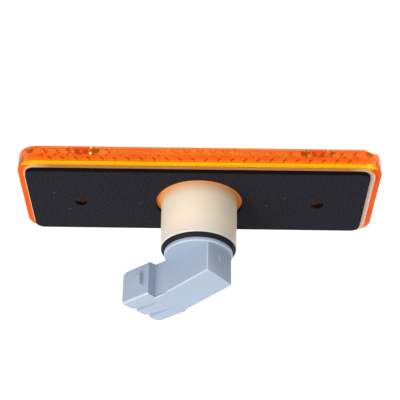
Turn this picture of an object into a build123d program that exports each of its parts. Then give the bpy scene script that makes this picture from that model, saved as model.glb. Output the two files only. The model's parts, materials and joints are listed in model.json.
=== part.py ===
from build123d import *
import math
import os

# Side marker lamp: amber lens, ivory housing with a bulb tube, twist-in bulb holder with a plug socket.
# Millimetres. X runs along the lamp, Y points out of its back, Z is up.
# The origin is on the tube's axis, in the mounting plane: the rear face of the foam gasket.

# Lens
lens_length = 120.0
lens_height = 43.0
lens_corner_r = 6.7
least_corner_r = 0.5
lens_wall = 2.0
lens_ledge = 1.0
lens_depth = 6.6
lens_crown = 1.4
lens_front_wall = 2.2
lens_edge_r = 1.8
rim_round = 0.3

# Optics on the inside of the lens front
flute_pitch = 4.27
flute_rise = 0.55
fine_rise = 0.3
optic_gap = 0.25
edge_flute_length = 4.0
pillow_rows = 7
pillow_columns = 6
fine_columns = 4
end_flutes = 6

# Screw holes through lens, housing and gasket
screw_spacing = 80.0
screw_hole_r = 2.15
screw_head_r = 4.5
screw_head_depth = 3.2
pillar_wall = 1.6

# Housing
plate_thick = 2.0
plate_proud = 0.9
plate_clearance = 0.1
tube_base_r = 12.85
tube_end_r = 12.6
tube_wall = 2.0
tube_reach = 17.8
tube_foot_r = 1.4
tube_lip_r = 0.3
light_flare = 1.0

# Foam gasket
gasket_thick = 1.6
gasket_margin = 1.3
gasket_corner_r = 3.0
gasket_shift_x = 0.6
gasket_shift_z = 0.9
gasket_tube_gap = 1.75

# Rubber seal between the tube's end and the holder's flange
seal_thick = 1.5
seal_proud = 0.05
seal_clearance = 0.1

# Bulb holder: plug and flange
plug_clearance = 0.25
plug_wall = 1.4
plug_length = 11.0
plug_floor = 2.6
flange_r = 11.35
flange_thick = 1.3
flange_round = 0.5
lug_count = 3
lug_rise = 0.65
lug_width = 4.0
lug_length = 2.2
lug_depth = 4.0
lug_clearance = 0.2
lug_turn = 34.0
sector_steps = 4

# Bulb holder: arm and connector shroud, turned about the tube's axis
arm_turn = 42.0
arm_width = 12.0
arm_back = 9.4
arm_reach = 13.75
arm_gap = 0.5
arm_depth = 9.7
arm_rise = 2.95
arm_cant = 1.1
arm_round = 0.5
shroud_length = 11.95
shroud_width = 18.2
shroud_depth = 11.9
shroud_wall = 1.3
shroud_floor = 1.2
shroud_round = 0.8
mouth_bevel_out = 2.1
mouth_bevel_in = 1.2
key_corner = 2.1
key_groove_width = 2.0
key_groove_depth = 0.6
key_groove_spacing = 6.0
latch_rise = 1.4
latch_length = 5.2
latch_height = 3.7
latch_setback = 2.75
edge_step_length = 6.0
edge_step_drop = 1.3
edge_step_depth = 0.6
gate_length = 2.6
gate_width = 1.0
gate_rise = 0.25
gate_setback = 3.1

# Terminals
blade_width = 2.8
blade_thick = 0.8
blade_pitch = 5.0
blade_recess = 2.5
bend_r = 0.5

# Capless bulb
bulb_r = 5.0
bulb_length = 26.3
glass_wall = 0.7
wedge_width = 9.5
wedge_thick = 2.2
wedge_length = 9.3
wedge_round = 0.5
wedge_seat = 0.9
neck_length = 4.5
wire_r = 0.25
wire_clearance = 0.03
wire_fold = 6.5
wire_sunk = 0.05
wire_bend_share = 0.45
filament_r = 0.22
filament_inset = 4.3
filament_bow = 0.75
filament_clearance = 0.15
socket_clearance = 0.2
socket_wall = 1.6

# How near a level or a radius an edge or corner must lie to be picked by it
pick = 0.01

# Levels along Y
plate_rear = -gasket_thick
plate_front = plate_rear - plate_thick
rim_rear = plate_rear - plate_proud
lens_front = rim_rear - lens_depth
optic_face = lens_front + lens_front_wall
flange_front = tube_reach + seal_thick
flange_rear = flange_front + flange_thick
arm_front = flange_rear + arm_gap
arm_end_rear = arm_front + arm_depth
arm_top_rear = arm_end_rear + arm_rise
shroud_rear = arm_front + shroud_depth
blade_level = arm_front + shroud_depth / 2
plug_front = flange_front - plug_length
plug_floor_level = flange_front - plug_floor
bulb_base = flange_rear + wedge_seat
bulb_tip = bulb_base - bulb_length
wedge_top = bulb_base - wedge_length
neck_top = wedge_top - neck_length

# Radii and sections that fit each other
bore_r = tube_end_r - tube_wall
plug_r = bore_r - plug_clearance
lug_r = plug_r + plug_clearance + lug_rise
slot_r = lug_r + lug_clearance
seal_inner_r = plug_r + seal_clearance
plate_length = lens_length - 2 * (lens_wall + plate_clearance)
plate_height = lens_height - 2 * (lens_wall + plate_clearance)
pillar_r = screw_head_r + pillar_wall
contact_inner = wedge_thick / 2 + wire_r
contact_outer = contact_inner + blade_thick
shroud_end = arm_reach + shroud_length
cavity_floor = arm_reach + shroud_floor
blade_tip = shroud_end - blade_recess
slot_half = contact_outer + socket_clearance
slot_width = wedge_width + 2 * socket_clearance
slot_floor = bulb_base + 2 * wire_r + socket_clearance

# The holder, the terminals and the bulb are drawn with the arm along +X, then turned about the tube's axis.
turned = Rot(0, arm_turn, 0)


def across(sketch, front, rear):
    """A prism of a sketch drawn in X and Z, between two levels of Y."""
    return extrude(Plane.XZ.offset(-rear) * sketch, amount=rear - front)


def along(sketch, width):
    """A prism of a sketch drawn in X and Y, centred on Z = 0."""
    return extrude(sketch, amount=width / 2, both=True)


def tray(length, height, inset, corner_r):
    """The lamp's rounded-rectangle outline, drawn in by an inset."""
    r = max(corner_r - inset, least_corner_r)
    return RectangleRounded(length - 2 * inset, height - 2 * inset, r)


def about_tube(profile):
    """A turned solid: a profile of radius along X and level along Y, revolved about the tube's axis."""
    return revolve(profile, Axis.Y)


def at_screws(radius, front, rear):
    """Two round bars where the screws pass, between two levels of Y."""
    pair = Pos(-screw_spacing / 2, 0) * Circle(radius) + Pos(screw_spacing / 2, 0) * Circle(radius)
    return across(pair, front, rear)


def ridge(width, rise, x, z, length):
    """One half-round flute on the optic face, upright, about a middle point."""
    radius = ((width / 2) ** 2 + rise**2) / (2 * rise)
    return Pos(x, optic_face + rise - radius, z) * Cylinder(radius, length)


def pillow(width, rise, x, z):
    """One domed pillow on the optic face."""
    radius = ((width / 2) ** 2 + rise**2) / (2 * rise)
    return Pos(x, optic_face + rise - radius, z) * Sphere(radius)


def make_optics():
    """Pillows before the bulb, fine flutes beside them, wide flutes along the edges and at both ends."""
    width = flute_pitch - optic_gap
    fine_pitch = flute_pitch / 2
    inner_height = lens_height - 2 * (lens_wall + lens_ledge)
    field_height = inner_height - 2 * edge_flute_length
    edge_z = (inner_height - edge_flute_length) / 2
    pitch_z = field_height / pillow_rows
    dome = min(width, pitch_z - optic_gap)
    optics = []
    for column in range(pillow_columns):
        for row in range(pillow_rows):
            x = (column - (pillow_columns - 1) / 2) * flute_pitch
            z = (row - (pillow_rows - 1) / 2) * pitch_z
            optics.append(pillow(dome, flute_rise, x, z))
    fine_start = pillow_columns / 2 * flute_pitch
    field_end = fine_start + fine_columns * flute_pitch
    for side in (-1, 1):
        for n in range(2 * fine_columns):
            x = side * (fine_start + (n + 0.5) * fine_pitch)
            optics.append(ridge(fine_pitch - optic_gap, fine_rise, x, 0, field_height))
        for n in range(end_flutes):
            x = side * (field_end + (n + 0.5) * flute_pitch)
            optics.append(ridge(width, flute_rise, x, 0, inner_height))
        for n in range(pillow_columns + 2 * fine_columns):
            x = (n + 0.5) * flute_pitch - field_end
            optics.append(ridge(width, flute_rise, x, side * edge_z, edge_flute_length))
    return optics


def make_lens():
    """Amber tray: crowned front, rounded edges, ledge for the back plate, inner optics, screw pillars."""
    half = lens_height / 2
    side = Polyline((lens_front, -half), (rim_rear, -half), (rim_rear, half), (lens_front, half))
    crown = ThreePointArc((lens_front, half), (lens_front - lens_crown, 0), (lens_front, -half))
    section = Plane.YZ * make_face([*side.edges(), crown])
    body = extrude(section, amount=lens_length / 2, both=True)
    body &= across(tray(lens_length, lens_height, 0, lens_corner_r), lens_front - lens_crown, rim_rear)
    walls = body.edges().filter_by(lambda e: e.bounding_box().max.Y < lens_front + pick)
    body = fillet(walls, lens_edge_r)
    rim_edge = body.faces().sort_by(Axis.Y)[-1].edges()
    body = fillet(rim_edge, rim_round)

    body -= across(tray(lens_length, lens_height, lens_wall, lens_corner_r), plate_front, rim_rear)
    inner = tray(lens_length, lens_height, lens_wall + lens_ledge, lens_corner_r)
    cavity = across(inner, optic_face, plate_front)
    cavity -= make_optics()
    cavity -= at_screws(pillar_r, lens_front, plate_front)
    body -= cavity
    body -= at_screws(screw_hole_r, lens_front - lens_crown, plate_front)
    body -= at_screws(screw_head_r, lens_front - lens_crown, lens_front + screw_head_depth)
    return body


def ring_sector(inner, outer, start, sweep):
    """A flat ring sector in X and Z, between two radii and two angles."""
    far = 2 * outer
    edge = [(0, 0)]
    for step in range(sector_steps + 1):
        angle = math.radians(start + sweep * step / sector_steps)
        edge.append((far * math.cos(angle), far * math.sin(angle)))
    return (Circle(outer) - Circle(inner)) & make_face(Polyline(*edge, close=True))


def bayonet(inner, outer, spread, turn_by, front, rear):
    """Equal sectors round the tube's axis, between two levels of Y."""
    half = math.degrees(spread / 2 / outer)
    step = 360 / lug_count
    parts = []
    for n in range(lug_count):
        sector = ring_sector(inner, outer, n * step - half, 2 * half + turn_by)
        parts.append(across(sector, front, rear))
    return parts


def make_housing():
    """Ivory back plate with the drafted bulb tube, its bayonet tracks and the screw holes."""
    plate = across(tray(plate_length, plate_height, 0, lens_corner_r - lens_wall), plate_front, plate_rear)
    wall = make_face(
        Polyline(
            (bore_r, plate_front),
            (tube_base_r, plate_front),
            (tube_base_r, plate_rear),
            (tube_end_r, tube_reach),
            (bore_r, tube_reach),
            close=True,
        )
    )
    tube = about_tube(wall)
    lip = tube.faces().sort_by(Axis.Y)[-1].edges()
    tube = fillet(lip, tube_lip_r)
    plate -= across(Circle(bore_r), plate_front, plate_rear)
    body = plate + tube
    foot = body.edges().filter_by(GeomType.CIRCLE).filter_by(
        lambda e: abs(e.center().Y - plate_rear) < pick and abs(e.radius - tube_base_r) < pick
    )
    body = fillet(foot, tube_foot_r)
    mouth = body.edges().filter_by(GeomType.CIRCLE).filter_by(
        lambda e: abs(e.center().Y - plate_front) < pick and abs(e.radius - bore_r) < pick
    )
    body = chamfer(mouth, light_flare)

    track_rear = tube_reach - lug_depth + lug_length / 2 + lug_clearance
    track_front = tube_reach - lug_depth - lug_length / 2 - lug_clearance
    entry_width = lug_width + 2 * lug_clearance
    inside = bore_r - tube_wall
    body -= bayonet(inside, slot_r, entry_width, 0, track_front, tube_reach)
    body -= bayonet(inside, slot_r, entry_width, lug_turn, track_front, track_rear)
    body -= at_screws(screw_hole_r, plate_front, plate_rear)
    return body


def make_gasket():
    """Die-cut foam sheet: its outline sits a little off the plate's middle, its holes on screws and tube."""
    outline = RectangleRounded(
        plate_length - 2 * gasket_margin, plate_height - 2 * gasket_margin, gasket_corner_r
    )
    sheet = across(Pos(gasket_shift_x, gasket_shift_z) * outline, plate_rear, 0)
    sheet -= across(Circle(tube_base_r + gasket_tube_gap), plate_rear, 0)
    sheet -= at_screws(screw_hole_r, plate_rear, 0)
    return sheet


def make_seal_ring():
    """Rubber ring squeezed between tube and flange, tapered from one to the other."""
    section = Polyline(
        (seal_inner_r, tube_reach),
        (tube_end_r + seal_proud, tube_reach),
        (flange_r + seal_proud, flange_front),
        (seal_inner_r, flange_front),
        close=True,
    )
    return about_tube(make_face(section))


def make_terminal(n, side):
    """One strip: a blade in the shroud, a run along the arm and a leg up one face of the bulb's wedge."""
    leg_in = side * contact_inner
    leg_out = side * contact_outer
    low = min(leg_in, leg_out)
    leg_top = wedge_top + blade_thick
    strip = Polyline(
        (low, leg_top),
        (low + blade_thick, leg_top),
        (low + blade_thick, blade_level - blade_thick / 2),
        (blade_tip, blade_level - blade_thick / 2),
        (blade_tip, blade_level + blade_thick / 2),
        (low, blade_level + blade_thick / 2),
        close=True,
    )
    section = make_face(strip)
    near_leg = section.vertices().filter_by(lambda v: v.X < low + blade_thick + pick)
    corners = near_leg.filter_by(lambda v: v.Y > leg_top + pick)
    inner = corners.sort_by(Axis.X)[-1]
    outer = corners.sort_by(Axis.X)[0]
    section = fillet(inner, bend_r)
    outer = section.vertices().sort_by_distance((outer.X, outer.Y))[0]
    section = fillet(outer, bend_r + blade_thick)
    strip_body = Pos(0, 0, n) * along(section, blade_width)
    tip = strip_body.faces().sort_by(Axis.X)[-1].edges()
    return chamfer(tip, blade_thick / 4)


def make_bulb_leads(radius):
    """Two wires: a post inside the glass, through the pinch, round its foot and back up one face."""
    filament_level = bulb_tip + filament_inset
    face = wedge_thick / 2 - wire_sunk
    wires = []
    for side in (1, -1):
        path = FilletPolyline(
            (0, filament_level, side * blade_pitch / 2),
            (0, bulb_base + wire_r, side * blade_pitch / 2),
            (side * face, bulb_base + wire_r, side * blade_pitch / 2),
            (side * face, bulb_base - wire_fold, side * blade_pitch / 2),
            radius=wire_bend_share * face,
        )
        start = Plane(path @ 0, z_dir=path % 0)
        wires.append(sweep(start * Circle(radius), path=path).solid())
    return wires


def make_bulb_filament():
    """The filament, bowed between the tips of the two posts."""
    level = bulb_tip + filament_inset + wire_r
    half = blade_pitch / 2 - wire_r - filament_clearance
    path = ThreePointArc((0, level, -half), (0, level - filament_bow, 0), (0, level, half))
    start = Plane(path @ 0, z_dir=path % 0)
    return sweep(start * Circle(filament_r), path=path)


def bulb_outline(radius, tip, end):
    """Half the section of a round-nosed glass tube."""
    nose = RadiusArc((0, tip), (radius, tip + radius), -radius)
    rest = Polyline((radius, tip + radius), (radius, end), (0, end), (0, tip))
    return make_face([nose, *rest.edges()])


def make_bulb_glass():
    """Blown envelope that is pinched flat into the wedge base, round the two lead wires."""
    glass = about_tube(bulb_outline(bulb_r, bulb_tip, neck_top))
    glass -= about_tube(bulb_outline(bulb_r - glass_wall, bulb_tip + glass_wall, neck_top))
    wedge = RectangleRounded(wedge_thick, wedge_width, wedge_round)
    neck = loft([Plane.XZ.offset(-neck_top) * Circle(bulb_r), Plane.XZ.offset(-wedge_top) * wedge])
    base = across(wedge, wedge_top, bulb_base)
    for wire in make_bulb_leads(wire_r + wire_clearance):
        neck -= wire
        base -= wire
    return glass + neck + base


def make_plug():
    """Flange, hollow plug with bayonet lugs, and the socket block for the bulb's wedge."""
    body = across(Circle(flange_r), flange_front, flange_rear)
    body = fillet(body.faces().sort_by(Axis.Y)[-1].edges(), flange_round)
    body += across(Circle(plug_r), plug_front, flange_front)
    body -= across(Circle(plug_r - plug_wall), plug_front, plug_floor_level)
    block = RectangleRounded(2 * (slot_half + socket_wall), slot_width + 2 * socket_wall, socket_wall / 2)
    body += across(block, wedge_top + socket_clearance, plug_floor_level)
    lug_mid = tube_reach - lug_depth
    lug_front = lug_mid - lug_length / 2
    lugs = bayonet(plug_r - plug_wall / 2, lug_r, lug_width, 0, lug_front, lug_front + lug_length)
    for lug in lugs:
        body += Rot(0, -lug_turn - arm_turn, 0) * lug
    return body


def make_arm():
    """Block behind the flange and the arm to the shroud; its rear face slopes to the shroud and one side."""
    run = arm_reach + arm_back
    plan = Pos((arm_reach - arm_back) / 2, 0) * Rectangle(run, arm_width)
    arm = across(plan, arm_front, arm_top_rear + arm_cant)
    slope = Plane(
        origin=(-arm_back, arm_end_rear, arm_width / 2),
        x_dir=(run, arm_rise, 0),
        z_dir=(-arm_rise * arm_width, run * arm_width, run * arm_cant),
    )
    arm = split(arm, bisect_by=slope, keep=Keep.BOTTOM)
    end_face = arm.faces().sort_by(Axis.X)[0]
    arm = fillet(end_face.edges().filter_by(Axis.Y), arm_round)
    rear_face = arm.faces().sort_by(Axis.Y)[-1]
    arm = fillet(rear_face.edges().filter_by(lambda e: e.center().X < arm_reach - pick), arm_round)

    arm += across(plan & Circle(flange_r - flange_round), flange_rear, arm_front)
    step = make_face(
        Polyline(
            (arm_reach - edge_step_length, arm_top_rear - arm_rise * edge_step_length / run),
            (arm_reach, arm_top_rear - edge_step_drop),
            (arm_reach, arm_top_rear - arm_round),
            close=True,
        )
    )
    arm -= Pos(0, 0, arm_width / 2 - edge_step_depth) * extrude(step, amount=edge_step_depth)
    arm -= Pos(0, arm_cant, -arm_width / 2) * extrude(step, amount=edge_step_depth)
    gate = scale(Sphere(1), by=(gate_rise, gate_length / 2, gate_width / 2))
    arm += Pos(-arm_back, arm_front + gate_setback, 0) * gate
    return arm


def make_shroud():
    """Connector shroud: keyed mouth, tapering key grooves behind and a latch ramp on each side."""
    body = across(
        Pos((arm_reach + shroud_end) / 2, 0) * Rectangle(shroud_length, shroud_width), arm_front, shroud_rear
    )
    corner = body.edges().filter_by(Axis.Y).group_by(Axis.X)[-1].sort_by(Axis.Z)[0]
    body = chamfer(corner, key_corner)
    lip = Polyline(
        (shroud_end, arm_front),
        (shroud_end, arm_front + mouth_bevel_in),
        (shroud_end - mouth_bevel_out, arm_front),
        close=True,
    )
    body -= along(make_face(lip), shroud_width)
    body = fillet(body.edges().filter_by(Axis.X), shroud_round)
    groove = Polyline(
        (arm_reach, shroud_rear),
        (shroud_end, shroud_rear - key_groove_depth),
        (shroud_end, shroud_rear),
        close=True,
    )
    for side in (-1, 1):
        body -= Pos(0, 0, side * key_groove_spacing / 2) * along(make_face(groove), key_groove_width)
    ramp_start = arm_reach + latch_setback
    face = shroud_width / 2
    ramp = make_face(
        Polyline(
            (ramp_start, face),
            (ramp_start, face + latch_rise),
            (ramp_start + latch_length, face),
            close=True,
        )
    )
    ramps = across(ramp, blade_level - latch_height / 2, blade_level + latch_height / 2)
    body += ramps
    body += mirror(ramps, Plane.XY)
    return body


def make_bulb_holder(terminals):
    """One moulding: plug, arm and shroud, with the socket for the bulb and seats for the two strips."""
    body = make_plug() + make_arm() + make_shroud()
    mouth = Pos((cavity_floor + shroud_end) / 2, 0) * Rectangle(
        shroud_end - cavity_floor, shroud_width - 2 * shroud_wall
    )
    body -= across(mouth, arm_front + shroud_wall, shroud_rear - shroud_wall)
    body -= across(Rectangle(2 * slot_half, slot_width), plug_front, slot_floor)
    for terminal in terminals:
        body -= terminal
    return body


def main():
    os.makedirs("parts", exist_ok=True)
    live = make_terminal(blade_pitch / 2, 1)
    earth = make_terminal(-blade_pitch / 2, -1)
    nodes = {
        "lens": make_lens(),
        "housing": make_housing(),
        "gasket": make_gasket(),
        "seal_ring": make_seal_ring(),
        "bulb_holder": turned * make_bulb_holder([live, earth]),
        "terminal_live": turned * live,
        "terminal_earth": turned * earth,
        "bulb_glass": turned * make_bulb_glass(),
        "bulb_leads": turned * Compound(make_bulb_leads(wire_r)),
        "bulb_filament": turned * make_bulb_filament(),
    }
    for name, shape in nodes.items():
        export_step(shape, f"parts/{name}.step")


main()
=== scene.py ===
"""Looks of a side marker lamp: finishes, modelled pieces, camera and studio."""
import json
import logging
import math
from dataclasses import dataclass
from enum import Enum

import bmesh
import bpy
from mathutils import Matrix, Vector


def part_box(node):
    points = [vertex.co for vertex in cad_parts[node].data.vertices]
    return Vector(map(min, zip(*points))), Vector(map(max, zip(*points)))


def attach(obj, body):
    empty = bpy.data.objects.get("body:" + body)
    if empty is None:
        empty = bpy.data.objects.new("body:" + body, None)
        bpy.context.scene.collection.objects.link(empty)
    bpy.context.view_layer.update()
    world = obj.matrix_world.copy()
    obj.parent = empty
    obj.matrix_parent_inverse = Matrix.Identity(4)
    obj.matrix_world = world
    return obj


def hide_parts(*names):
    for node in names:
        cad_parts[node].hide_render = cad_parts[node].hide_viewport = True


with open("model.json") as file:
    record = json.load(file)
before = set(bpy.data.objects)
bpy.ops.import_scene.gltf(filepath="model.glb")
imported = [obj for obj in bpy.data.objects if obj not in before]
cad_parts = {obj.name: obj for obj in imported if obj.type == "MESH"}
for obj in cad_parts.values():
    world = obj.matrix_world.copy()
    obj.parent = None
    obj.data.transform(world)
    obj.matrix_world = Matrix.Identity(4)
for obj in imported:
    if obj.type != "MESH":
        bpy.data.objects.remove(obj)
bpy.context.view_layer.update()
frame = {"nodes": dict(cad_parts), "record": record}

log = logging.getLogger("side_marker_lamp")

Rgb = tuple[float, float, float]
Xyz = tuple[float, float, float]
Range = tuple[float, float]
Value = float | int | tuple | Vector | bpy.types.NodeSocket | bpy.types.Material
Inputs = dict[str | int, Value]

BODY = "root"
MM = 0.001
MERGE_WITHIN = 0.0001 * MM
LEVEL_WITHIN = 0.01 * MM
FLAT_WITHIN = math.radians(0.05)
SHARP_FROM = math.radians(32.0)
# the face attribute that marks rounded edges for a painted highlight
EDGE_HIGHLIGHT = "edge_painted_highlight"
WHITE: Rgb = (1.0, 1.0, 1.0)


class Slot(Enum):
    """The record's material slots."""

    AMBER = "amber_lens"
    IVORY = "ivory_plastic"
    FOAM = "gasket_foam"
    SEAL = "seal_rubber"
    GREY = "grey_plastic"
    TIN = "tinned_brass"
    GLASS = "bulb_glass"
    LEAD = "lead_wire"
    FILAMENT = "filament_wire"


class LensFace(Enum):
    """The kinds of face on the lens, as the numbers of their materials."""

    POLISHED = 0
    WALL = 1
    RIM = 2


class Ray(Enum):
    """The rays that see the studio as plain white."""

    CAMERA = "Is Camera Ray"
    GLOSSY = "Is Glossy Ray"
    TRANSMISSION = "Is Transmission Ray"


class Graph:
    """A node tree while it is being put together.

    A Mix node's colour sockets share their names with others, so they go by number.
    """

    MIX_FACTOR = 0
    MIX_FIRST = 6
    MIX_SECOND = 7
    MIX_RESULT = 2

    def __init__(self, tree: bpy.types.NodeTree) -> None:
        """Takes the tree that the nodes go into."""
        self.tree = tree

    def add(self, kind: str, inputs: Inputs | None = None, **settings: object) -> bpy.types.Node:
        """Adds a node.

        Args:
            kind: Blender's name of the node type.
            inputs: what goes into its sockets, by name or number: a socket is linked, the rest is set.
            settings: the node's own properties.

        Returns:
            The new node.
        """
        node = self.tree.nodes.new(kind)
        for name, value in settings.items():
            setattr(node, name, value)
        for key, value in (inputs or {}).items():
            self.feed(node.inputs[key], value)
        return node

    def feed(self, socket: bpy.types.NodeSocket, value: Value) -> None:
        """Links a socket to another one, or sets its value.

        Args:
            socket: the input to fill.
            value: an output socket, or a plain value.
        """
        if isinstance(value, bpy.types.NodeSocket):
            self.tree.links.new(value, socket)
        else:
            socket.default_value = value

    def math(self, operation: str, first: Value, second: Value = 0.0) -> bpy.types.NodeSocket:
        """Adds a Math node and returns its output."""
        return self.add("ShaderNodeMath", {0: first, 1: second}, operation=operation).outputs[0]

    def fade(self, value: Value, start: float, end: float) -> bpy.types.NodeSocket:
        """A soft step.

        Args:
            value: what is measured.
            start: where the step is still 0.
            end: where it reaches 1, above or below the start.

        Returns:
            The step's output.
        """
        ends = {"Value": value, "From Min": start, "From Max": end}
        return self.add("ShaderNodeMapRange", ends, interpolation_type="SMOOTHSTEP").outputs["Result"]

    def spread(self, value: Value, low: float, high: float) -> bpy.types.NodeSocket:
        """Maps a value from 0 to 1 onto a range and returns the output."""
        ends = {"Value": value, "To Min": low, "To Max": high}
        return self.add("ShaderNodeMapRange", ends).outputs["Result"]

    def around(self, value: Value, middle: float, reach: float) -> bpy.types.NodeSocket:
        """Maps a value from 0 to 1 onto a range about a middle and returns the output."""
        return self.spread(value, middle - reach, middle + reach)

    def blend(self, factor: Value, first: Value, second: Value) -> bpy.types.NodeSocket:
        """Mixes two colours and returns the result."""
        colours = {self.MIX_FACTOR: factor, self.MIX_FIRST: opaque(first), self.MIX_SECOND: opaque(second)}
        return self.add("ShaderNodeMix", colours, data_type="RGBA").outputs[self.MIX_RESULT]

    def group(self, tree: bpy.types.NodeTree, inputs: Inputs | None = None) -> bpy.types.Node:
        """Places a shader node group and returns its node."""
        return self.add("ShaderNodeGroup", inputs, node_tree=tree)


def opaque(colour: Value) -> Value:
    """A colour with full opacity; a socket is passed on as it is."""
    return (*colour, 1.0) if isinstance(colour, tuple) else colour


class Effects:
    """Shader node groups that several finishes share, each built once."""

    NOISE_DETAIL = {"Mottle": 2.0, "Grain": 3.0}

    def __init__(self) -> None:
        """Builds the three groups."""
        self.place = self._place()
        self.grain = self._grain()
        self.specks = self._specks()

    @staticmethod
    def _start(
        name: str, inputs: dict[str, float], outputs: list[str]
    ) -> tuple[Graph, bpy.types.Node, bpy.types.Node]:
        """Starts a shader node group.

        Args:
            name: the group's name.
            inputs: its inputs with their first values.
            outputs: its outputs.

        Returns:
            The group's graph, its input node and its output node.
        """
        tree = bpy.data.node_groups.new(name, "ShaderNodeTree")
        for label, value in inputs.items():
            socket = tree.interface.new_socket(label, in_out="INPUT", socket_type="NodeSocketFloat")
            socket.default_value = value
        for label in outputs:
            tree.interface.new_socket(label, in_out="OUTPUT", socket_type="NodeSocketFloat")
        graph = Graph(tree)
        return graph, graph.add("NodeGroupInput"), graph.add("NodeGroupOutput")

    def _place(self) -> bpy.types.NodeTree:
        """Where a point lies on the lamp, in millimetres: along it, its level, its height and its radius.

        Returns:
            The group's tree.
        """
        graph, _, out = self._start("place_on_lamp", {}, ["Along", "Level", "Height", "Radius"])
        point = graph.add("ShaderNodeTexCoord").outputs["Object"]
        scaled = graph.add("ShaderNodeVectorMath", {0: point, "Scale": 1 / MM}, operation="SCALE")
        axes = graph.add("ShaderNodeSeparateXYZ", {0: scaled.outputs[0]})
        flat = graph.add("ShaderNodeCombineXYZ", {"X": axes.outputs["X"], "Z": axes.outputs["Z"]})
        radius = graph.add("ShaderNodeVectorMath", {0: flat.outputs[0]}, operation="LENGTH")
        graph.feed(out.inputs["Along"], axes.outputs["X"])
        graph.feed(out.inputs["Level"], axes.outputs["Y"])
        graph.feed(out.inputs["Height"], axes.outputs["Z"])
        graph.feed(out.inputs["Radius"], radius.outputs["Value"])
        return graph.tree

    def _grain(self) -> bpy.types.NodeTree:
        """Broad mottling and fine grain of a moulded or foamed surface.

        Returns:
            The group's tree.
        """
        graph, given, out = self._start(
            "moulded_grain", {"Mottle Scale": 60.0, "Grain Scale": 4000.0}, ["Mottle", "Grain"]
        )
        point = graph.add("ShaderNodeTexCoord").outputs["Object"]
        for label, detail in self.NOISE_DETAIL.items():
            scale = given.outputs[f"{label} Scale"]
            noise = graph.add("ShaderNodeTexNoise", {"Vector": point, "Scale": scale, "Detail": detail})
            graph.feed(out.inputs[label], noise.outputs["Fac"])
        return graph.tree

    def grain_on(self, graph: Graph, mottle_scale: float, grain_scale: float) -> bpy.types.Node:
        """Places the grain in a material and returns its node."""
        return graph.group(self.grain, {"Mottle Scale": mottle_scale, "Grain Scale": grain_scale})

    def _specks(self) -> bpy.types.NodeTree:
        """Sparse small specks of dust.

        Returns:
            The group's tree.
        """
        graph, given, out = self._start(
            "dust_specks", {"Scale": 900.0, "Size": 0.12, "Amount": 0.06}, ["Mask"]
        )
        point = graph.add("ShaderNodeTexCoord").outputs["Object"]
        cells = graph.add("ShaderNodeTexVoronoi", {"Vector": point, "Scale": given.outputs["Scale"]})
        chance = graph.add("ShaderNodeSeparateColor", {0: cells.outputs["Color"]}).outputs[0]
        small = graph.math("LESS_THAN", cells.outputs["Distance"], given.outputs["Size"])
        chosen = graph.math("LESS_THAN", chance, given.outputs["Amount"])
        graph.feed(out.inputs["Mask"], graph.math("MULTIPLY", small, chosen))
        return graph.tree


def new_material(name: str, slot: Slot) -> tuple[bpy.types.Material, Graph, bpy.types.Node]:
    """Starts a material.

    Args:
        name: the finish's name.
        slot: the record's slot that it belongs to.

    Returns:
        The material, the graph of its nodes and its Principled shader.
    """
    material = bpy.data.materials.new(f"{slot.value}.{name}")
    material.use_nodes = True
    graph = Graph(material.node_tree)
    return material, graph, material.node_tree.nodes["Principled BSDF"]


def bump(graph: Graph, height: Value, depth_mm: float) -> bpy.types.NodeSocket:
    """A Bump node's normal.

    Args:
        graph: the material's graph.
        height: relief from 0 to 1.
        depth_mm: how deep the relief is.

    Returns:
        The Normal output.
    """
    return graph.add("ShaderNodeBump", {"Height": height, "Distance": depth_mm * MM}).outputs["Normal"]


@dataclass(frozen=True)
class Dust:
    """Sparse specks of dust on a finish."""

    colour: Rgb
    scale: float
    size: float
    amount: float

    def over(self, graph: Graph, effects: Effects, body: Value) -> bpy.types.NodeSocket:
        """Lays the specks over a colour.

        Args:
            graph: the material's graph.
            effects: the shared effects.
            body: the colour below.

        Returns:
            The colour with the specks.
        """
        sizes = {"Scale": self.scale, "Size": self.size, "Amount": self.amount}
        return graph.blend(graph.group(effects.specks, sizes).outputs["Mask"], body, self.colour)


@dataclass(frozen=True)
class AmberAcrylic:
    """Moulded amber plastic, from polished and clear to a nearly opaque rim, with the glow of the light in
    its walls painted into its colour.
    """

    name: str
    tint: Rgb
    deep_tint: Rgb
    # the colour of the painted glow, at the rear of the long sides
    painted_glow_tint: Rgb
    clear_share: float
    shine: float
    smooth: float
    dull: float
    long_side: Range = (18.6, 19.4)
    rear_level: Range = (-4.2, -2.9)
    streaks: Range = (0.35, 0.65)
    shine_tint: Rgb = (1.0, 0.6, 0.1)
    ior: float = 1.49
    mottle_scale: float = 90.0
    grain_scale: float = 1500.0
    ripple_mm: float = 0.01

    def material(self, effects: Effects) -> bpy.types.Material:
        """Builds the material.

        Args:
            effects: the shared shader node groups.

        Returns:
            The finished material.
        """
        material, graph, shader = new_material(self.name, Slot.AMBER)
        grain = effects.grain_on(graph, self.mottle_scale, self.grain_scale)
        mottle = grain.outputs["Mottle"]
        place = graph.group(effects.place)
        body = graph.blend(graph.fade(mottle, *self.streaks), self.tint, self.deep_tint)
        # painted glow: towards the rear of the long sides the colour turns to the glow tint, standing in for
        # the light that the walls carry
        beside = graph.fade(graph.math("ABSOLUTE", place.outputs["Height"]), *self.long_side)
        rear = graph.fade(place.outputs["Level"], *self.rear_level)
        painted_glow_mask = graph.math("MULTIPLY", beside, rear)
        graph.feed(shader.inputs["Base Color"], graph.blend(painted_glow_mask, body, self.painted_glow_tint))
        graph.feed(shader.inputs["Roughness"], graph.spread(grain.outputs["Grain"], self.smooth, self.dull))
        graph.feed(shader.inputs["Normal"], bump(graph, mottle, self.ripple_mm))
        shader.inputs["Transmission Weight"].default_value = self.clear_share
        shader.inputs["Specular IOR Level"].default_value = self.shine
        shader.inputs["Specular Tint"].default_value = opaque(self.shine_tint)
        shader.inputs["IOR"].default_value = self.ior
        return material


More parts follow.
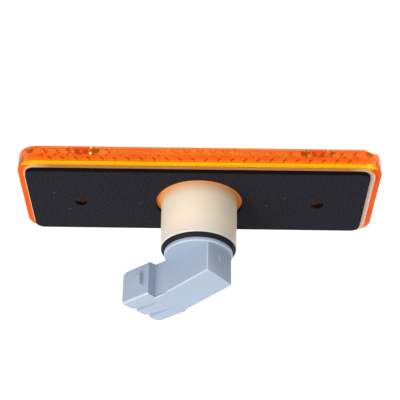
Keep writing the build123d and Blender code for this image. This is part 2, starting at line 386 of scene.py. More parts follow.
POLISHED_AMBER = AmberAcrylic(
    name="polished_clear",
    tint=(1.0, 0.36, 0.04),
    deep_tint=(1.0, 0.31, 0.03),
    painted_glow_tint=(1.0, 0.4, 0.03),
    clear_share=1.0,
    shine=0.5,
    smooth=0.01,
    dull=0.04,
)
WALL_AMBER = AmberAcrylic(
    name="moulded_wall",
    tint=(1.0, 0.2, 0.02),
    deep_tint=(1.0, 0.15, 0.012),
    painted_glow_tint=(1.0, 0.36, 0.006),
    clear_share=0.76,
    shine=0.5,
    smooth=0.02,
    dull=0.06,
)
# painted shade: the ribs are clear amber, coloured dark brown to stand in for the light they lose inside the
# wall
RIB_AMBER = AmberAcrylic(
    name="rib_painted_shade",
    tint=(0.16, 0.03, 0.006),
    deep_tint=(0.1, 0.018, 0.004),
    painted_glow_tint=(0.16, 0.03, 0.006),
    clear_share=0.1,
    shine=0.1,
    smooth=0.3,
    dull=0.5,
)
# painted glow: the rim is a nearly opaque orange that stands in for the light piped through it, yellower at
# the rear
RIM_AMBER = AmberAcrylic(
    name="rim_painted_glow",
    tint=(0.84, 0.1, 0.001),
    deep_tint=(0.78, 0.08, 0.001),
    painted_glow_tint=(0.86, 0.46, 0.001),
    clear_share=0.05,
    shine=0.05,
    smooth=0.3,
    dull=0.45,
)


@dataclass(frozen=True)
class IvoryPlastic:
    """Ivory moulding with painted light: the lens's amber glow where the tube stands on the plate and on the
    ledge outside the rim, and painted shade in the screw holes.
    """

    cream: Rgb = (0.93, 0.775, 0.6)
    pale: Rgb = (0.95, 0.815, 0.655)
    # peach and glow: the painted amber light at the tube's foot
    peach: Rgb = (0.82, 0.44, 0.2)
    # border and border_end: painted amber light and shade on the ledge outside the rim
    border: Rgb = (0.46, 0.2, 0.075)
    border_end: Rgb = (0.66, 0.43, 0.3)
    glow: Rgb = (0.95, 0.33, 0.03)
    shade: Rgb = (0.05, 0.022, 0.012)
    ash: Rgb = (0.78, 0.7, 0.62)
    foot_level: Range = (4.2, -2.2)
    end_level: Range = (11.0, 19.0)
    glow_level: Range = (0.0, -1.2)
    glow_radius: Range = (16.0, 13.6)
    border_radius: Range = (17.0, 18.4)
    border_along: Range = (48.0, 55.0)
    inside_level: Range = (-2.7, -3.3)
    screws: str = "screw_holes"
    shade_radius: Range = (4.6, 3.6)
    roughness: float = 0.36
    spread: float = 0.06
    soft_share: float = 0.3
    soft_reach: Rgb = (1.0, 0.6, 0.4)
    soft_mm: float = 1.5
    mottle_scale: float = 70.0
    grain_scale: float = 5000.0
    grain_mm: float = 0.006

    def material(self, effects: Effects) -> bpy.types.Material:
        """Builds the material.

        Args:
            effects: the shared shader node groups.

        Returns:
            The finished material.
        """
        material, graph, shader = new_material("soft_sheen", Slot.IVORY)
        place = graph.group(effects.place)
        grain = effects.grain_on(graph, self.mottle_scale, self.grain_scale)
        skin = graph.blend(grain.outputs["Mottle"], self.cream, self.pale)
        body = graph.blend(graph.fade(place.outputs["Level"], *self.end_level), skin, self.ash)
        # painted light: the amber light from the lens, growing towards the tube's foot and strongest in a
        # ring round it at the plate
        foot = graph.fade(place.outputs["Level"], *self.foot_level)
        painted_foot_glow = graph.blend(foot, body, self.peach)
        low = graph.fade(place.outputs["Level"], *self.glow_level)
        near = graph.fade(place.outputs["Radius"], *self.glow_radius)
        lit = graph.blend(graph.math("MULTIPLY", low, near), painted_foot_glow, self.glow)
        # painted light and shade: outside the rim the ledge turns a darker orange, lighter towards the ends
        outside = graph.fade(place.outputs["Radius"], *self.border_radius)
        far = graph.math("ABSOLUTE", place.outputs["Along"])
        border = graph.blend(graph.fade(far, *self.border_along), self.border, self.border_end)
        lit = graph.blend(outside, lit, border)
        inside = graph.fade(place.outputs["Level"], *self.inside_level)
        lit = graph.blend(inside, lit, skin)
        # painted shade: the plate turns near black round the screw holes
        aside = graph.math("SUBTRACT", far, mount(self.screws)["dims"]["spacing_x_mm"] / 2)
        flat = graph.add("ShaderNodeCombineXYZ", {"X": aside, "Z": place.outputs["Height"]})
        from_screw = graph.add("ShaderNodeVectorMath", {0: flat.outputs[0]}, operation="LENGTH")
        painted_hole_shade = graph.fade(from_screw.outputs["Value"], *self.shade_radius)
        graph.feed(shader.inputs["Base Color"], graph.blend(painted_hole_shade, lit, self.shade))
        fine = grain.outputs["Grain"]
        graph.feed(shader.inputs["Roughness"], graph.around(fine, self.roughness, self.spread))
        graph.feed(shader.inputs["Normal"], bump(graph, fine, self.grain_mm))
        shader.inputs["Subsurface Weight"].default_value = self.soft_share
        shader.inputs["Subsurface Radius"].default_value = self.soft_reach
        shader.inputs["Subsurface Scale"].default_value = self.soft_mm * MM
        return material


@dataclass(frozen=True)
class FineFoam:
    """Charcoal closed-cell foam: fine cells, a rolled skin, cut sides darkened partly as cut cells and
    partly by painted shade, and a few specks of dust.
    """

    dark: Rgb = (0.006, 0.0056, 0.0082)
    light: Rgb = (0.02, 0.019, 0.026)
    # cut: the colour of the cut sides, partly the open cells and partly painted shade
    cut: Rgb = (0.004, 0.0032, 0.004)
    dust: Dust = Dust((0.1, 0.098, 0.11), scale=700.0, size=0.14, amount=0.03)
    cells: Range = (0.3, 0.7)
    shaded_side_facing: Range = (0.75, 0.25)
    roughness: float = 0.95
    shine: float = 0.1
    grain_scale: float = 1700.0
    cell_mm: float = 0.06

    def material(self, effects: Effects) -> bpy.types.Material:
        """Builds the material.

        Args:
            effects: the shared shader node groups.

        Returns:
            The finished material.
        """
        material, graph, shader = new_material("fine_cells", Slot.FOAM)
        grain = graph.group(effects.grain, {"Grain Scale": self.grain_scale})
        fine = grain.outputs["Grain"]
        skin = graph.blend(graph.fade(fine, *self.cells), self.dark, self.light)
        # partly real and partly painted shade: faces that turn away from the sheet's two faces are darker
        normal = graph.add("ShaderNodeNewGeometry").outputs["Normal"]
        facing = graph.math("ABSOLUTE", graph.add("ShaderNodeSeparateXYZ", {0: normal}).outputs["Y"])
        sides = graph.fade(facing, *self.shaded_side_facing)
        body = graph.blend(sides, skin, self.cut)
        graph.feed(shader.inputs["Base Color"], self.dust.over(graph, effects, body))
        graph.feed(shader.inputs["Normal"], bump(graph, fine, self.cell_mm))
        shader.inputs["Roughness"].default_value = self.roughness
        shader.inputs["Specular IOR Level"].default_value = self.shine
        return material


@dataclass(frozen=True)
class SealRubber:
    """Smooth black moulded rubber."""

    black: Rgb = (0.003, 0.003, 0.005)
    bloom: Rgb = (0.009, 0.0085, 0.013)
    roughness: float = 0.61
    spread: float = 0.09
    shine: float = 0.15
    mottle_scale: float = 200.0
    grain_scale: float = 3500.0
    grain_mm: float = 0.006

    def material(self, effects: Effects) -> bpy.types.Material:
        """Builds the material.

        Args:
            effects: the shared shader node groups.

        Returns:
            The finished material.
        """
        material, graph, shader = new_material("smooth_moulded", Slot.SEAL)
        grain = effects.grain_on(graph, self.mottle_scale, self.grain_scale)
        graph.feed(shader.inputs["Base Color"], graph.blend(grain.outputs["Mottle"], self.black, self.bloom))
        fine = grain.outputs["Grain"]
        graph.feed(shader.inputs["Roughness"], graph.around(fine, self.roughness, self.spread))
        graph.feed(shader.inputs["Normal"], bump(graph, fine, self.grain_mm))
        shader.inputs["Specular IOR Level"].default_value = self.shine
        return material


@dataclass(frozen=True)
class SatinGreyPlastic:
    """Blue-grey moulded plastic with a fine satin skin and painted highlights on its rounded edges."""

    blue: Rgb = (0.33, 0.402, 0.512)
    grey: Rgb = (0.358, 0.43, 0.54)
    # edge: the colour of the painted highlight on rounded edges
    edge: Rgb = (0.66, 0.72, 0.79)
    highlight_share: float = 0.4
    dust: Dust = Dust((0.7, 0.72, 0.76), scale=500.0, size=0.08, amount=0.02)
    roughness: float = 0.3
    spread: float = 0.07
    mottle_scale: float = 110.0
    grain_scale: float = 4500.0
    grain_mm: float = 0.008

    def material(self, effects: Effects) -> bpy.types.Material:
        """Builds the material.

        Args:
            effects: the shared shader node groups.

        Returns:
            The finished material.
        """
        material, graph, shader = new_material("fine_satin", Slot.GREY)
        grain = effects.grain_on(graph, self.mottle_scale, self.grain_scale)
        skin = graph.blend(grain.outputs["Mottle"], self.blue, self.grey)
        # painted highlight: faces marked as rounded edges are mixed towards a pale blue-grey
        edges = graph.add("ShaderNodeAttribute", attribute_name=EDGE_HIGHLIGHT).outputs["Fac"]
        body = graph.blend(graph.math("MULTIPLY", edges, self.highlight_share), skin, self.edge)
        graph.feed(shader.inputs["Base Color"], self.dust.over(graph, effects, body))
        fine = grain.outputs["Grain"]
        graph.feed(shader.inputs["Roughness"], graph.around(fine, self.roughness, self.spread))
        graph.feed(shader.inputs["Normal"], bump(graph, fine, self.grain_mm))
        return material


@dataclass(frozen=True)
class BareMetal:
    """A bare or plated metal with a drawn or rolled surface."""

    name: str
    slot: Slot
    bright: Rgb
    dull: Rgb
    roughness: float
    spread: float = 0.08
    mottle_scale: float = 400.0
    grain_scale: float = 6000.0
    grain_mm: float = 0.004

    def material(self, effects: Effects) -> bpy.types.Material:
        """Builds the material.

        Args:
            effects: the shared shader node groups.

        Returns:
            The finished material.
        """
        material, graph, shader = new_material(self.name, self.slot)
        grain = effects.grain_on(graph, self.mottle_scale, self.grain_scale)
        graph.feed(shader.inputs["Base Color"], graph.blend(grain.outputs["Mottle"], self.bright, self.dull))
        fine = grain.outputs["Grain"]
        graph.feed(shader.inputs["Roughness"], graph.around(fine, self.roughness, self.spread))
        graph.feed(shader.inputs["Normal"], bump(graph, fine, self.grain_mm))
        shader.inputs["Metallic"].default_value = 1.0
        return material


@dataclass(frozen=True)
class BlownGlass:
    """Clear blown glass with a faint waviness."""

    clear: Rgb = (0.97, 0.985, 0.98)
    faint: Rgb = (0.93, 0.96, 0.95)
    roughness: float = 0.02
    ior: float = 1.5
    mottle_scale: float = 250.0
    wave_mm: float = 0.012

    def material(self, effects: Effects) -> bpy.types.Material:
        """Builds the material.

        Args:
            effects: the shared shader node groups.

        Returns:
            The finished material.
        """
        material, graph, shader = new_material("clear_blown", Slot.GLASS)
        waves = graph.group(effects.grain, {"Mottle Scale": self.mottle_scale}).outputs["Mottle"]
        graph.feed(shader.inputs["Base Color"], graph.blend(waves, self.clear, self.faint))
        graph.feed(shader.inputs["Normal"], bump(graph, waves, self.wave_mm))
        shader.inputs["Roughness"].default_value = self.roughness
        shader.inputs["Transmission Weight"].default_value = 1.0
        shader.inputs["IOR"].default_value = self.ior
        return material


TIN_PLATE = BareMetal("tin_plate", Slot.TIN, (0.74, 0.72, 0.68), (0.64, 0.62, 0.58), 0.28)
DRAWN_WIRE = BareMetal("drawn_wire", Slot.LEAD, (0.6, 0.57, 0.52), (0.5, 0.47, 0.43), 0.32)
COILED_TUNGSTEN = BareMetal("coiled_tungsten", Slot.FILAMENT, (0.28, 0.28, 0.3), (0.2, 0.2, 0.22), 0.45)


def mount(name: str) -> dict:
    """The record's mount of that name."""
    return next(entry for entry in frame["record"]["mounts"] if entry["name"] == name)


def dress(node: str, material: bpy.types.Material) -> None:
    """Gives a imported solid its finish.

    Args:
        node: the solid's name.
        material: its finish.
    """
    for slot in frame["nodes"][node].material_slots:
        slot.material = material
    log.info("%s wears %s", node, material.name)


def stand_in(piece: bpy.types.Object, node: str) -> None:
    """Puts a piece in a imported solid's place, on the lamp's body.

    Args:
        piece: the modelled piece.
        node: the solid that it stands for.
    """
    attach(piece, BODY)
    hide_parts(node)
    log.info("%s stands for %s, %d faces", piece.name, node, len(piece.data.polygons))


def linked(name: str, mesh: bpy.types.Mesh) -> bpy.types.Object:
    """Puts a mesh in the scene, at the origin.

    Args:
        name: the object's name.
        mesh: its mesh.

    Returns:
        The new object.
    """
    piece = bpy.data.objects.new(name, mesh)
    bpy.context.scene.collection.objects.link(piece)
    return piece


def merged_copy(node: str, name: str, flat: bool = False) -> bpy.types.Object:
    """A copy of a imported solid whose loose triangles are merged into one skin.

    Args:
        node: the solid that is copied.
        name: the new piece's name.
        flat: whether triangles in one plane become one face.

    Returns:
        The new piece, smooth but for its sharp edges.
    """
    source = frame["nodes"][node].data
    mesh = bpy.data.meshes.new(name)
    mesh.from_pydata([v.co for v in source.vertices], [], [tuple(p.vertices) for p in source.polygons])
    work = bmesh.new()
    work.from_mesh(mesh)
    bmesh.ops.remove_doubles(work, verts=work.verts, dist=MERGE_WITHIN)
    if flat:
        bmesh.ops.dissolve_limit(work, angle_limit=FLAT_WITHIN, verts=work.verts, edges=work.edges)
    work.to_mesh(mesh)
    work.free()
    mesh.shade_smooth()
    mesh.set_sharp_from_angle(angle=SHARP_FROM)
    return linked(name, mesh)


class GeometryTree(Graph):
    """A Geometry Nodes tree with named sizes that ends in a plain mesh with its material."""

    def __init__(self, name: str, sizes: dict[str, str]) -> None:
        """Starts the tree.

        Args:
            name: the tree's name.
            sizes: its inputs by name, each with its socket type.
        """
        super().__init__(bpy.data.node_groups.new(name, "GeometryNodeTree"))
        for label, kind in sizes.items():
            self.tree.interface.new_socket(label, in_out="INPUT", socket_type=kind)
        self.tree.interface.new_socket("Finish", in_out="INPUT", socket_type="NodeSocketMaterial")
        self.tree.interface.new_socket("Geometry", in_out="OUTPUT", socket_type="NodeSocketGeometry")
        self.given = self.add("NodeGroupInput").outputs

    def close(self, geometry: bpy.types.NodeSocket, smooth: bool = True) -> None:
        """Ends the tree.

        Args:
            geometry: what the tree has made.
            smooth: whether its faces are shaded smooth.
        """
        shaded = self.add("GeometryNodeSetShadeSmooth", {"Geometry": geometry, "Shade Smooth": smooth})
        real = self.add("GeometryNodeRealizeInstances", {"Geometry": shaded.outputs[0]})
        finish = {"Geometry": real.outputs[0], "Material": self.given["Finish"]}
        made = self.add("GeometryNodeSetMaterial", finish)
        self.add("NodeGroupOutput", {"Geometry": made.outputs[0]})

    def grow(self, name: str, values: dict[str, Value]) -> bpy.types.Object:
        """Runs the tree and keeps its result as a plain mesh.

        Args:
            name: the new piece's name.
            values: the tree's inputs by name.

        Returns:
            The new piece, without a modifier.
        """
        piece = linked(name, bpy.data.meshes.new(f"{name}_start"))
        modifier = piece.modifiers.new("grow", "NODES")
        modifier.node_group = self.tree
        for item in self.tree.interface.items_tree:
            if item.in_out == "INPUT":
                modifier[item.identifier] = values[item.name]
        graph = bpy.context.evaluated_depsgraph_get()
        mesh = bpy.data.meshes.new_from_object(piece.evaluated_get(graph), depsgraph=graph)
        piece.modifiers.remove(modifier)
        piece.data = mesh
        mesh.name = name
        return piece


def radii_at(node: str, level: float) -> tuple[float, float]:
    """The least and greatest distance of a solid's points from its own axis at one level.

    Args:
        node: the solid's name.
        level: the level along Y, in metres.

    Returns:
        The inner and the outer radius, in metres.
    """
    low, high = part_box(node)
    middle = (low + high) / 2
    points = [v.co for v in frame["nodes"][node].data.vertices if abs(v.co.y - level) < LEVEL_WITHIN]
    distances = [math.hypot(p.x - middle.x, p.z - middle.z) for p in points]
    return min(distances), max(distances)


@dataclass
class Lens:
    """The amber cover: polished outside and in, with moulded side walls, a rim whose glow is painted and
    ribs whose shade is painted.
    """

    polished: AmberAcrylic = POLISHED_AMBER
    wall: AmberAcrylic = WALL_AMBER
    rim: AmberAcrylic = RIM_AMBER
    ribs: AmberAcrylic = RIB_AMBER
    rim_depth_mm: float = 0.4
    wall_within_mm: float = 2.1
    upright: float = 0.6
    rib_pitch_mm: float = 4.27
    ribs_per_side: int = 12
    rib_size_mm: Xyz = (1.5, 0.45, 0.4)
    rib_slant_deg: float = 38.0
    rib_level_mm: float = -5.2
    rib_height_mm: float = 18.27

    def kind_of(self, face: bpy.types.MeshPolygon, high: Vector) -> LensFace:
        """Tells the lens's faces apart by their place and direction.

        Args:
            face: a face of the lens.
            high: the highest corner of the lens's box.

        Returns:
            The kind of face.
        """
        place, normal = face.center, face.normal
        if normal.y > self.upright and place.y > high.y - self.rim_depth_mm * MM:
            return LensFace.RIM
        inset = max(abs(place.x) - high.x, abs(place.z) - high.z)
        outward = normal.x * place.x + normal.z * place.z > 0
        if outward and abs(normal.y) < self.upright and inset > -self.wall_within_mm * MM:
            return LensFace.WALL
        return LensFace.POLISHED

    def rib_tree(self) -> GeometryTree:
        """The tree of a row of small slanted ribs, mirrored about the row's middle.

        Returns:
            The tree, whose sizes are inputs.
        """
        sizes = {"Count": "NodeSocketInt", "Start": "NodeSocketVector", "Step": "NodeSocketVector"}
        tree = GeometryTree("slanted_ribs", sizes | {"Size": "NodeSocketVector", "Slant": "NodeSocketFloat"})
        given = tree.given
        line = {"Count": given["Count"], "Start Location": given["Start"], "Offset": given["Step"]}
        points = tree.add("GeometryNodeMeshLine", line)
        rib = tree.add("GeometryNodeMeshCube", {"Size": given["Size"]})
        place = tree.add("GeometryNodeInputPosition").outputs[0]
        side = tree.math("SIGN", tree.add("ShaderNodeSeparateXYZ", {0: place}).outputs["X"])
        turn = tree.math("MULTIPLY", tree.math("MULTIPLY", side, given["Slant"]), -1.0)
        turned = tree.add("ShaderNodeCombineXYZ", {"Z": turn}).outputs[0]
        row = {"Points": points.outputs[0], "Instance": rib.outputs[0], "Rotation": turned}
        tree.close(tree.add("GeometryNodeInstanceOnPoints", row).outputs[0], smooth=False)
        return tree

    def rib_row(self, side: int, finish: bpy.types.Material) -> None:
        """Models one row of ribs on the inside of a long wall.

        Args:
            side: 1 for the upper wall and -1 for the lower one.
            finish: the ribs' material.
        """
        first = -(self.ribs_per_side - 0.5) * self.rib_pitch_mm
        values = {
            "Count": 2 * self.ribs_per_side,
            "Start": Vector((first, self.rib_level_mm, side * self.rib_height_mm)) * MM,
            "Step": Vector((self.rib_pitch_mm, 0.0, 0.0)) * MM,
            "Size": Vector(self.rib_size_mm) * MM,
            "Slant": math.radians(self.rib_slant_deg),
            "Finish": finish,
        }
        row = self.rib_tree().grow("upper_ribs" if side > 0 else "lower_ribs", values)
        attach(row, BODY)
        log.info("%s, %d faces", row.name, len(row.data.polygons))

    def build(self, effects: Effects) -> None:
        """Models the cover over its solid, dresses its faces and adds the ribs inside.

        Args:
            effects: the shared shader node groups.
        """
        rib_finish = self.ribs.material(effects)
        for side in (1, -1):
            self.rib_row(side, rib_finish)
        cover = merged_copy("lens", "amber_cover")
        for finish in (self.polished, self.wall, self.rim):
            cover.data.materials.append(finish.material(effects))
        _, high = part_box("lens")
        for face in cover.data.polygons:
            face.material_index = self.kind_of(face, high).value
        stand_in(cover, "lens")


@dataclass
class Housing:
    """The ivory plate and tube."""

    finish: IvoryPlastic = IvoryPlastic()

    def build(self, effects: Effects) -> None:
        """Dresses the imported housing."""
        dress("housing", self.finish.material(effects))


@dataclass
class Gasket:
    """The die-cut foam sheet, with the soft edges that a cut foam has."""

    finish: FineFoam = FineFoam()
    edge_mm: float = 0.22
    edge_steps: int = 3
    sharp_deg: float = 40.0

    def build(self, effects: Effects) -> None:
        """Models the sheet over its solid and dresses it.

        Args:
            effects: the shared shader node groups.
        """
        sheet = merged_copy("gasket", "foam_gasket", flat=True)
        rounding = sheet.modifiers.new("rounded_edges", "BEVEL")
        rounding.width = self.edge_mm * MM
        rounding.segments = self.edge_steps
        rounding.limit_method = "ANGLE"
        rounding.angle_limit = math.radians(self.sharp_deg)
        rounding.harden_normals = True
        sheet.data.materials.append(self.finish.material(effects))
        stand_in(sheet, "gasket")


@dataclass
class SealRing:
    """The rubber ring that is squeezed between the tube's end and the holder's flange."""

    finish: SealRubber = SealRubber()
    round_mm: float = 0.2
    round_steps: int = 4
    turn_steps: int = 160

    def tree(self) -> GeometryTree:
        """The tree of a ring: a rounded four-sided section that follows a circle.

        Returns:
            The tree, whose sizes are inputs.
        """
        number = "NodeSocketFloat"
        sizes = {"Inner Radius": number, "Foot Width": number, "Top Width": number, "Thickness": number}
        sizes |= {"Round": number, "Round Steps": "NodeSocketInt", "Turn Steps": "NodeSocketInt"}
        tree = GeometryTree("squeezed_ring", sizes | {"Place": "NodeSocketVector"})
        given = tree.given
        circle = {"Resolution": given["Turn Steps"], "Radius": given["Inner Radius"]}
        path = tree.add("GeometryNodeCurvePrimitiveCircle", circle)
        foot = tree.add("ShaderNodeCombineXYZ", {"X": given["Foot Width"]})
        top = tree.add("ShaderNodeCombineXYZ", {"X": given["Top Width"], "Y": given["Thickness"]})
        back = tree.add("ShaderNodeCombineXYZ", {"Y": given["Thickness"]})
        corners = {"Point 1": (0.0, 0.0, 0.0), "Point 2": foot.outputs[0]}
        corners |= {"Point 3": top.outputs[0], "Point 4": back.outputs[0]}
        section = tree.add("GeometryNodeCurvePrimitiveQuadrilateral", mode="POINTS")
        for label, value in corners.items():
            tree.feed(section.inputs[label], value)
        rounded = tree.add("GeometryNodeFilletCurve", {"Curve": section.outputs[0]}, mode="POLY")
        tree.feed(rounded.inputs["Radius"], given["Round"])
        tree.feed(rounded.inputs["Count"], given["Round Steps"])
        rounded.inputs["Limit Radius"].default_value = True
        swept = {"Curve": path.outputs[0], "Profile Curve": rounded.outputs[0]}
        ring = tree.add("GeometryNodeCurveToMesh", swept)
        upright = {"Geometry": ring.outputs[0], "Translation": given["Place"]}
        placed = tree.add("GeometryNodeTransform", upright)
        placed.inputs["Rotation"].default_value = (math.pi / 2, 0.0, 0.0)
        tree.close(placed.outputs[0])
        return tree

    def build(self, effects: Effects) -> None:
        """Models the ring in its solid's place and dresses it.

        Args:
            effects: the shared shader node groups.
        """
        low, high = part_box("seal_ring")
        inner, foot = radii_at("seal_ring", low.y)
        _, top = radii_at("seal_ring", high.y)
        values = {
            "Inner Radius": inner,
            "Foot Width": foot - inner,
            "Top Width": top - inner,
            "Thickness": high.y - low.y,
            "Round": self.round_mm * MM,
            "Round Steps": self.round_steps,
            "Turn Steps": self.turn_steps,
            "Place": ((low.x + high.x) / 2, low.y, (low.z + high.z) / 2),
            "Finish": self.finish.material(effects),
        }
        stand_in(self.tree().grow("rubber_ring", values), "seal_ring")


@dataclass
class BulbHolder:
    """The twist-in holder with its arm, its plug socket and its two strips."""

    finish: SatinGreyPlastic = SatinGreyPlastic()
    strips: BareMetal = TIN_PLATE
    socket: str = "plug_socket"
    off_axis_deg: float = 16.5
    first_level_mm: float = 20.1

    def painted_highlight_on(self, face: bpy.types.MeshPolygon, axes: tuple[Vector, ...]) -> float:
        """How much a face belongs to the rounded edges of arm, shroud and flange, which get a painted
        highlight.

        Args:
            face: a face of the holder.
            axes: the directions of the arm's flat sides.

        Returns:
            1 on a rounded edge and 0 elsewhere.
        """
        aligned = max(abs(face.normal.dot(axis)) for axis in axes)
        on_edge = aligned < math.cos(math.radians(self.off_axis_deg))
        return float(on_edge and face.center.y > self.first_level_mm * MM)

    def build(self, effects: Effects) -> None:
        """Models the moulding over its solid, marks its rounded edges for a painted highlight and dresses it
        and the strips.

        Args:
            effects: the shared shader node groups.
        """
        moulding = merged_copy("bulb_holder", "holder_moulding")
        outwards = Vector(mount(self.socket)["axis"])
        upwards = Vector((0.0, 1.0, 0.0))
        axes = (outwards, upwards, outwards.cross(upwards))
        mesh = moulding.data
        marks = mesh.attributes.new(EDGE_HIGHLIGHT, "FLOAT", "FACE")
        for face in mesh.polygons:
            marks.data[face.index].value = self.painted_highlight_on(face, axes)
        mesh.materials.append(self.finish.material(effects))
        stand_in(moulding, "bulb_holder")
        tin = self.strips.material(effects)
        for node in ("terminal_live", "terminal_earth"):
            dress(node, tin)


@dataclass
class Bulb:
    """The capless bulb: glass, lead wires and a coiled filament."""

    glass: BlownGlass = BlownGlass()
    leads: BareMetal = DRAWN_WIRE
    filament: BareMetal = COILED_TUNGSTEN
    turns: int = 14
    steps_per_turn: int = 14
    end_mm: float = 0.22
    wire_mm: float = 0.045
    wire_sides: int = 6

    def coil_tree(self) -> GeometryTree:
        """The tree of a coil that is bowed between its two ends.

        Returns:
            The tree, whose sizes are inputs.
        """
        number = "NodeSocketFloat"
        sizes = {"Span": number, "Bow": number, "Coil Radius": number, "Wire Radius": number}
        sizes |= {"Turns": number, "Steps": "NodeSocketInt", "Wire Sides": "NodeSocketInt"}
        sizes |= {"Place": "NodeSocketVector", "Turn": "NodeSocketVector"}
        tree = GeometryTree("bowed_coil", sizes)
        given = tree.given
        spiral = {"Resolution": given["Steps"], "Rotations": given["Turns"], "Height": given["Span"]}
        spiral |= {"Start Radius": given["Coil Radius"], "End Radius": given["Coil Radius"]}
        helix = tree.add("GeometryNodeCurveSpiral", spiral)
        point = tree.add("GeometryNodeInputPosition").outputs[0]
        along = tree.add("ShaderNodeSeparateXYZ", {0: point}).outputs["Z"]
        share = tree.math("DIVIDE", along, given["Span"])
        rest = tree.math("SUBTRACT", 1.0, share)
        middle = 0.5
        arch = tree.math("DIVIDE", tree.math("MULTIPLY", share, rest), middle * middle)
        sag = tree.math("MULTIPLY", tree.math("MULTIPLY", arch, given["Bow"]), -1.0)
        offset = tree.add("ShaderNodeCombineXYZ", {"Y": sag}).outputs[0]
        bowed = tree.add("GeometryNodeSetPosition", {"Geometry": helix.outputs[0], "Offset": offset})
        round_wire = {"Resolution": given["Wire Sides"], "Radius": given["Wire Radius"]}
        section = tree.add("GeometryNodeCurvePrimitiveCircle", round_wire)
        swept = {"Curve": bowed.outputs[0], "Profile Curve": section.outputs[0], "Fill Caps": True}
        wire = tree.add("GeometryNodeCurveToMesh", swept)
        placing = {"Geometry": wire.outputs[0], "Translation": given["Place"], "Rotation": given["Turn"]}
        tree.close(tree.add("GeometryNodeTransform", placing).outputs[0])
        return tree

    def build(self, effects: Effects) -> None:
        """Dresses the glass and the wires, and models the coil in the filament's place.

        Args:
            effects: the shared shader node groups.
        """
        dress("bulb_glass", self.glass.material(effects))
        dress("bulb_leads", self.leads.material(effects))
        low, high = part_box("bulb_filament")
        run = Vector((high.x - low.x, 0.0, high.z - low.z))
        end_radius = self.end_mm * MM
        coil_radius = end_radius - self.wire_mm * MM
        values = {
            "Span": run.length,
            "Bow": high.y - low.y - 2 * end_radius,
            "Coil Radius": coil_radius,
            "Wire Radius": self.wire_mm * MM,
            "Turns": float(self.turns),
            "Steps": self.steps_per_turn,
            "Wire Sides": self.wire_sides,
            "Place": (low.x, high.y - end_radius, low.z),
            "Turn": (0.0, math.atan2(run.x, run.z), 0.0),
            "Finish": self.filament.material(effects),
        }
        coil = self.coil_tree().grow("filament_coil", values)
        stand_in(coil, "bulb_filament")


@dataclass(frozen=True)
class PhotoCamera:
    """The camera at the photograph's viewing angle, fitted to the lamp's outline."""

    elevation_deg: float = 58.83
    azimuth_deg: float = -0.60
    roll_deg: float = 0.24
    distance: float = 0.38643
    focal_mm: float = 102.48
    sensor_mm: float = 36.0
    origin_px: tuple[float, float] = (199.21, 203.74)
    image_px: float = 400.0

    def build(self) -> None:
        """Makes the camera and gives it to the scene."""
        rise, turn = math.radians(self.elevation_deg), math.radians(self.azimuth_deg)
        back = Vector((math.sin(turn) * math.cos(rise), math.cos(turn) * math.cos(rise), math.sin(rise)))
        right = Vector((0.0, 0.0, 1.0)).cross(back).normalized()
        rolled = Matrix.Rotation(math.radians(self.roll_deg), 3, back) @ right
        axes = Matrix((rolled, back.cross(rolled), back)).transposed()
        data = bpy.data.cameras.new("photo_camera")
        data.lens = self.focal_mm
        data.sensor_width = self.sensor_mm
        half = self.image_px / 2
        data.shift_x = (half - self.origin_px[0]) / self.image_px
        data.shift_y = (self.origin_px[1] - half) / self.image_px
        camera = bpy.data.objects.new("photo_camera", data)
        camera.matrix_world = Matrix.Translation(back * self.distance) @ axes.to_4x4()
        bpy.context.scene.collection.objects.link(camera)
        bpy.context.scene.camera = camera


@dataclass(frozen=True)
class SoftLight:
    """A square studio light that faces the lamp."""

    name: str
    towards: Xyz
    distance: float
    size: float
    level: float

    def build(self) -> None:
        """Makes the light; a level of 1 lights a white surface that faces it to plain white."""
        data = bpy.data.lights.new(self.name, "AREA")
        data.size = self.size
        data.energy = self.level * (math.pi * self.distance) ** 2
        light = bpy.data.objects.new(self.name, data)
        direction = Vector(self.towards).normalized()
        light.location = direction * self.distance
        light.rotation_mode = "QUATERNION"
        light.rotation_quaternion = direction.to_track_quat("Z", "Y")
        bpy.context.scene.collection.objects.link(light)


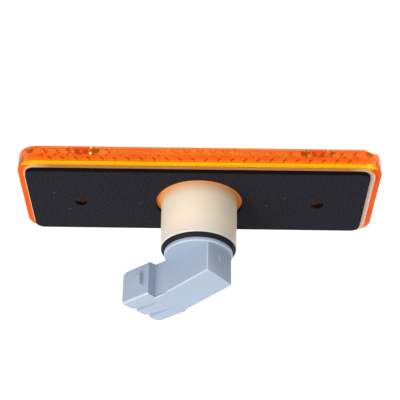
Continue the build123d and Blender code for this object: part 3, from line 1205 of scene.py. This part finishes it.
@dataclass(frozen=True)
class Studio:
    """Pale floor, white surroundings and soft lights."""

    floor_level: float = -0.36
    floor_half: float = 3.0
    floor_colour: Rgb = (0.9, 0.9, 0.9)
    floor_white: float = 1.045
    white_share: float = 0.9
    ambient: float = 0.4
    lights: tuple[SoftLight, ...] = (
        SoftLight("key_light", (0.5, 0.75, 0.43), 0.9, 0.7, 1.0),
        SoftLight("fill_light", (-0.3, 0.25, 0.92), 0.9, 0.8, 0.25),
        SoftLight("lens_light", (-0.75, -1.0, 0.15), 0.9, 0.5, 2.6),
    )

    @staticmethod
    def _seen(graph: Graph) -> bpy.types.NodeSocket:
        """A mask of the rays that see the studio as plain white.

        Args:
            graph: the graph of a material or of the world.

        Returns:
            1 for such a ray and 0 for the rest.
        """
        path = graph.add("ShaderNodeLightPath")
        camera, glossy, through = (path.outputs[ray.value] for ray in Ray)
        return graph.math("MAXIMUM", graph.math("MAXIMUM", camera, glossy), through)

    def _floor(self) -> None:
        """Makes the floor: white to the eye, with the lamp's shadow kept."""
        corners = [(-1, -1), (1, -1), (1, 1), (-1, 1)]
        points = [(x * self.floor_half, y * self.floor_half, self.floor_level) for x, y in corners]
        mesh = bpy.data.meshes.new("studio_floor")
        mesh.from_pydata(points, [], [(0, 1, 2, 3)])
        floor = linked("studio_floor", mesh)
        material = bpy.data.materials.new("pale_floor")
        material.use_nodes = True
        graph = Graph(material.node_tree)
        material.node_tree.nodes.remove(material.node_tree.nodes["Principled BSDF"])
        matt = graph.add("ShaderNodeBsdfDiffuse", {"Color": opaque(self.floor_colour)})
        white = graph.add("ShaderNodeEmission", {"Strength": self.floor_white})
        share = graph.math("MULTIPLY", self._seen(graph), self.white_share)
        both = graph.add("ShaderNodeMixShader", {0: share, 1: matt.outputs[0], 2: white.outputs[0]})
        graph.feed(material.node_tree.nodes["Material Output"].inputs["Surface"], both.outputs[0])
        mesh.materials.append(material)

    def _world(self) -> None:
        """Makes the surroundings: white to the eye, a soft even light on the lamp."""
        world = bpy.data.worlds.new("white_studio")
        bpy.context.scene.world = world
        world.use_nodes = True
        graph = Graph(world.node_tree)
        lighting = world.node_tree.nodes["Background"]
        lighting.inputs["Color"].default_value = opaque(WHITE)
        lighting.inputs["Strength"].default_value = self.ambient
        white = graph.add("ShaderNodeBackground", {"Color": opaque(WHITE), "Strength": 1.0})
        both = {0: self._seen(graph), 1: lighting.outputs[0], 2: white.outputs[0]}
        mixed = graph.add("ShaderNodeMixShader", both)
        graph.feed(world.node_tree.nodes["World Output"].inputs["Surface"], mixed.outputs[0])

    def build(self) -> None:
        """Makes the floor, the surroundings and the lights, and sets the view transform."""
        self._floor()
        self._world()
        for light in self.lights:
            light.build()
        bpy.context.scene.view_settings.view_transform = "Standard"


def main() -> None:
    """Builds the studio and the lamp's sub-assemblies in order."""
    logging.basicConfig(level=logging.INFO, format="%(name)s: %(message)s")
    Studio().build()
    PhotoCamera().build()
    effects = Effects()
    for assembly in (Lens(), Housing(), Gasket(), SealRing(), BulbHolder(), Bulb()):
        assembly.build(effects)


if __name__ == "__main__":
    main()
